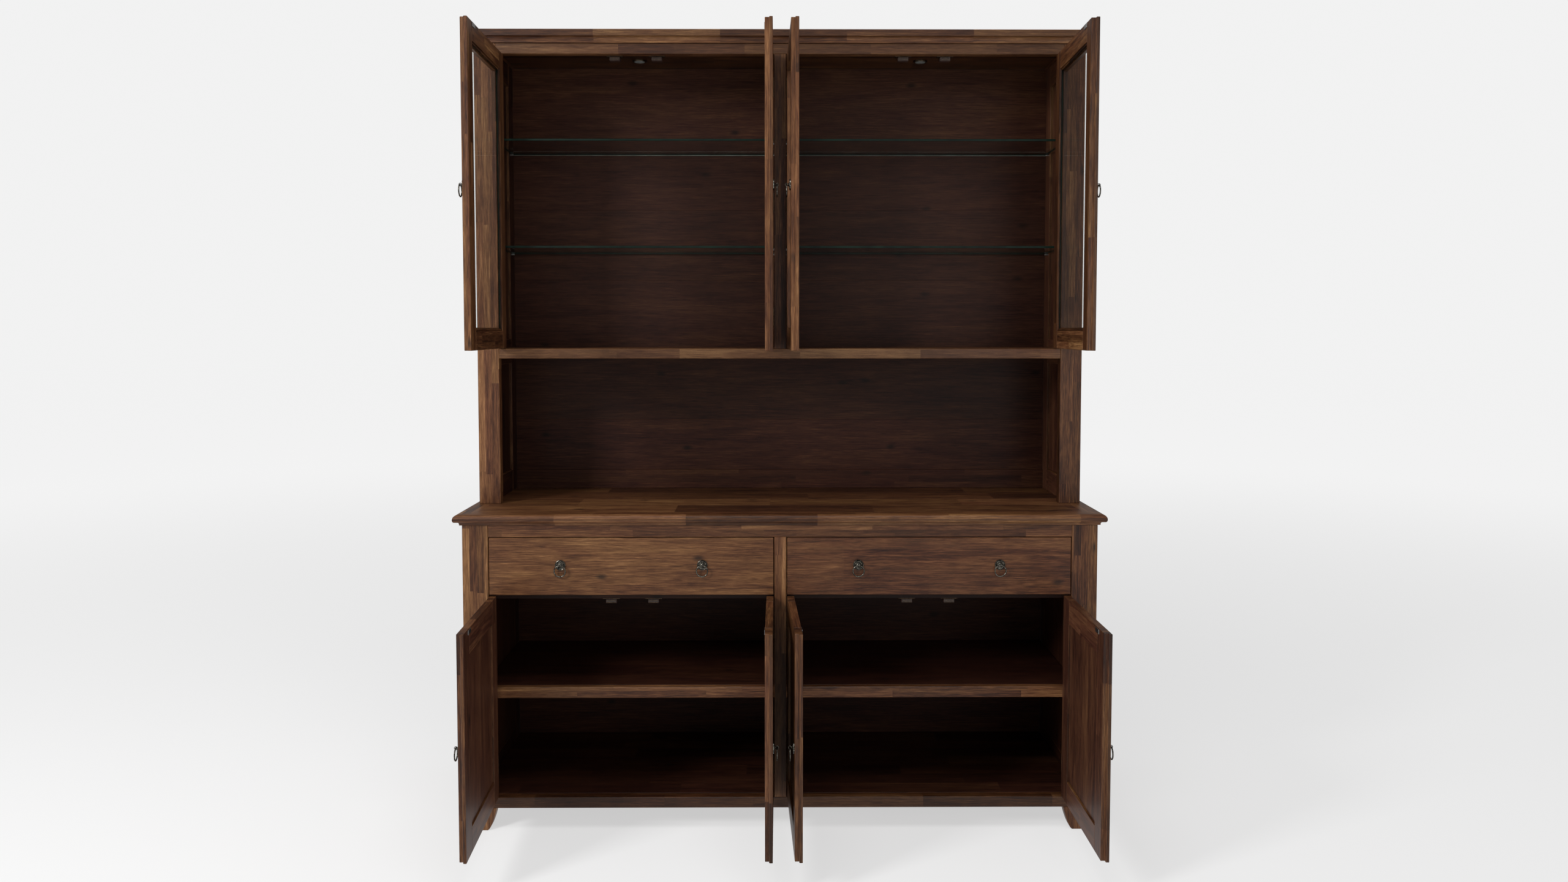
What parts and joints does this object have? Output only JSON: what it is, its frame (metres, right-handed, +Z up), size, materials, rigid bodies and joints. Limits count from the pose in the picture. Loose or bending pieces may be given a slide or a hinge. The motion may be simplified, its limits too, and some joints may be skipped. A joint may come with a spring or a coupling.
{
  "type": "china cabinet",
  "caption": "Two-part china cabinet: a buffet base with drawers, doors and shelves carries a hutch with glass doors, glass shelves and an open niche.",
  "frame": {"origin": "on the floor, at the middle of the whole object's box with its doors standing open as modelled", "axes": "+Z up, the front faces -Y, +X to the right seen from the front"},
  "size_m": [1.676, 0.8542, 2.098],
  "materials": {
    "stained_wood": "acacia stained walnut brown, satin lacquer",
    "inside_wood": "the same wood stained darker inside, matt",
    "drawer_wood": "plain hardwood drawer box, clear sealed",
    "clear_glass": "clear float glass, polished edges",
    "antique_pewter": "antique pewter, worn bright on the high spots"
  },
  "bodies": {
    "carcass": {"base_back": "inside_wood", "base_bottom": "inside_wood", "base_face_frame": "stained_wood", "base_left_end": "stained_wood", "base_left_shelf": "stained_wood", "base_partition": "inside_wood", "base_right_end": "stained_wood", "base_right_shelf": "stained_wood", "base_top": "stained_wood", "glass_shelf_left_lower": "clear_glass", "glass_shelf_left_upper": "clear_glass", "glass_shelf_right_lower": "clear_glass", "glass_shelf_right_upper": "clear_glass", "hutch_back": "inside_wood", "hutch_crown": "stained_wood", "hutch_deck": "stained_wood", "hutch_face_frame": "stained_wood", "hutch_left_end": "stained_wood", "hutch_partition": "inside_wood", "hutch_right_end": "stained_wood"},
    "upper_far_left_door": {"upper_door_far_left": "stained_wood", "upper_door_far_left_rosette": "antique_pewter", "upper_pane_far_left": "clear_glass"},
    "upper_far_left_ring": {"upper_door_far_left_ring": "antique_pewter"},
    "upper_mid_left_door": {"upper_door_mid_left": "stained_wood", "upper_door_mid_left_rosette": "antique_pewter", "upper_pane_mid_left": "clear_glass"},
    "upper_mid_left_ring": {"upper_door_mid_left_ring": "antique_pewter"},
    "upper_mid_right_door": {"upper_door_mid_right": "stained_wood", "upper_door_mid_right_rosette": "antique_pewter", "upper_pane_mid_right": "clear_glass"},
    "upper_mid_right_ring": {"upper_door_mid_right_ring": "antique_pewter"},
    "upper_far_right_door": {"upper_door_far_right": "stained_wood", "upper_door_far_right_rosette": "antique_pewter", "upper_pane_far_right": "clear_glass"},
    "upper_far_right_ring": {"upper_door_far_right_ring": "antique_pewter"},
    "lower_far_left_door": {"lower_door_far_left": "stained_wood", "lower_door_far_left_rosette": "antique_pewter"},
    "lower_far_left_ring": {"lower_door_far_left_ring": "antique_pewter"},
    "lower_mid_left_door": {"lower_door_mid_left": "stained_wood", "lower_door_mid_left_rosette": "antique_pewter"},
    "lower_mid_left_ring": {"lower_door_mid_left_ring": "antique_pewter"},
    "lower_mid_right_door": {"lower_door_mid_right": "stained_wood", "lower_door_mid_right_rosette": "antique_pewter"},
    "lower_mid_right_ring": {"lower_door_mid_right_ring": "antique_pewter"},
    "lower_far_right_door": {"lower_door_far_right": "stained_wood", "lower_door_far_right_rosette": "antique_pewter"},
    "lower_far_right_ring": {"lower_door_far_right_ring": "antique_pewter"},
    "left_drawer": {"left_drawer_front": "stained_wood", "left_drawer_box": "drawer_wood", "left_drawer_left_rosette": "antique_pewter", "left_drawer_right_rosette": "antique_pewter"},
    "left_drawer_left_ring_body": {"left_drawer_left_ring": "antique_pewter"},
    "left_drawer_right_ring_body": {"left_drawer_right_ring": "antique_pewter"},
    "right_drawer": {"right_drawer_front": "stained_wood", "right_drawer_box": "drawer_wood", "right_drawer_left_rosette": "antique_pewter", "right_drawer_right_rosette": "antique_pewter"},
    "right_drawer_left_ring_body": {"right_drawer_left_ring": "antique_pewter"},
    "right_drawer_right_ring_body": {"right_drawer_right_ring": "antique_pewter"}
  },
  "joints": [
    {"name": "upper_far_left_hinge", "type": "hinge", "parent": "carcass", "child": "upper_far_left_door", "pos_m": [-0.758, 0.11713, 1.252], "axis": [0, 0, 1], "range_deg": [-20, 89]},
    {"name": "upper_far_left_ring_swing", "type": "hinge", "parent": "upper_far_left_door", "child": "upper_far_left_ring", "pos_m": [-0.76181, -0.22624, 1.647], "axis": [-0.0175, 0.9998, 0], "range_deg": [0, 85]},
    {"name": "upper_mid_left_hinge", "type": "hinge", "parent": "carcass", "child": "upper_mid_left_door", "pos_m": [-0.018, 0.11713, 1.252], "axis": [0, 0, -1], "range_deg": [0, 90]},
    {"name": "upper_mid_left_ring_swing", "type": "hinge", "parent": "upper_mid_left_door", "child": "upper_mid_left_ring", "pos_m": [-0.0082, -0.22612, 1.647], "axis": [0, -1, 0], "range_deg": [0, 10]},
    {"name": "upper_mid_right_hinge", "type": "hinge", "parent": "carcass", "child": "upper_mid_right_door", "pos_m": [0.018, 0.11713, 1.252], "axis": [0, 0, 1], "range_deg": [0, 88.9]},
    {"name": "upper_mid_right_ring_swing", "type": "hinge", "parent": "upper_mid_right_door", "child": "upper_mid_right_ring", "pos_m": [0.01479, -0.22625, 1.647], "axis": [-0.0192, 0.9998, 0], "range_deg": [0, 10]},
    {"name": "upper_far_right_hinge", "type": "hinge", "parent": "carcass", "child": "upper_far_right_door", "pos_m": [0.758, 0.11713, 1.252], "axis": [0, 0, -1], "range_deg": [-20, 88.7]},
    {"name": "upper_far_right_ring_swing", "type": "hinge", "parent": "upper_far_right_door", "child": "upper_far_right_ring", "pos_m": [0.76001, -0.22626, 1.647], "axis": [-0.0227, -0.9997, 0], "range_deg": [0, 85]},
    {"name": "lower_far_left_hinge", "type": "hinge", "parent": "carcass", "child": "lower_far_left_door", "pos_m": [-0.7495, -0.05788, 0.089], "axis": [0, 0, 1], "range_deg": [-20, 87.3]},
    {"name": "lower_far_left_ring_swing", "type": "hinge", "parent": "lower_far_left_door", "child": "lower_far_left_ring", "pos_m": [-0.7434, -0.39521, 0.346], "axis": [-0.0471, 0.9989, 0], "range_deg": [0, 85]},
    {"name": "lower_mid_left_hinge", "type": "hinge", "parent": "carcass", "child": "lower_mid_left_door", "pos_m": [-0.0175, -0.05788, 0.089], "axis": [0, 0, -1], "range_deg": [0, 89.9]},
    {"name": "lower_mid_left_ring_swing", "type": "hinge", "parent": "lower_mid_left_door", "child": "lower_mid_left_ring", "pos_m": [-0.00829, -0.39514, 0.346], "axis": [-0.0017, -1, 0], "range_deg": [0, 10]},
    {"name": "lower_mid_right_hinge", "type": "hinge", "parent": "carcass", "child": "lower_mid_right_door", "pos_m": [0.0175, -0.05788, 0.089], "axis": [0, 0, 1], "range_deg": [0, 87.7]},
    {"name": "lower_mid_right_ring_swing", "type": "hinge", "parent": "lower_mid_right_door", "child": "lower_mid_right_ring", "pos_m": [0.02124, -0.39525, 0.346], "axis": [-0.0401, 0.9992, 0], "range_deg": [0, 10]},
    {"name": "lower_far_right_hinge", "type": "hinge", "parent": "carcass", "child": "lower_far_right_door", "pos_m": [0.7495, -0.05788, 0.089], "axis": [0, 0, -1], "range_deg": [-20, 89.9]},
    {"name": "lower_far_right_ring_swing", "type": "hinge", "parent": "lower_far_right_door", "child": "lower_far_right_ring", "pos_m": [0.75871, -0.39514, 0.346], "axis": [-0.0017, -1, 0], "range_deg": [0, 85]},
    {"name": "left_drawer_slide", "type": "slide", "parent": "carcass", "child": "left_drawer", "axis": [0, -1, 0], "range_m": [0, 0.3]},
    {"name": "left_drawer_left_ring_swing", "type": "hinge", "parent": "left_drawer", "child": "left_drawer_left_ring_body", "pos_m": [-0.566, -0.06767, 0.697], "axis": [-1, 0, 0], "range_deg": [0, 85]},
    {"name": "left_drawer_right_ring_swing", "type": "hinge", "parent": "left_drawer", "child": "left_drawer_right_ring_body", "pos_m": [-0.201, -0.06767, 0.697], "axis": [-1, 0, 0], "range_deg": [0, 85]},
    {"name": "right_drawer_slide", "type": "slide", "parent": "carcass", "child": "right_drawer", "axis": [0, -1, 0], "range_m": [0, 0.3]},
    {"name": "right_drawer_left_ring_swing", "type": "hinge", "parent": "right_drawer", "child": "right_drawer_left_ring_body", "pos_m": [0.201, -0.06767, 0.697], "axis": [-1, 0, 0], "range_deg": [0, 85]},
    {"name": "right_drawer_right_ring_swing", "type": "hinge", "parent": "right_drawer", "child": "right_drawer_right_ring_body", "pos_m": [0.566, -0.06767, 0.697], "axis": [-1, 0, 0], "range_deg": [0, 85]}
  ]
}
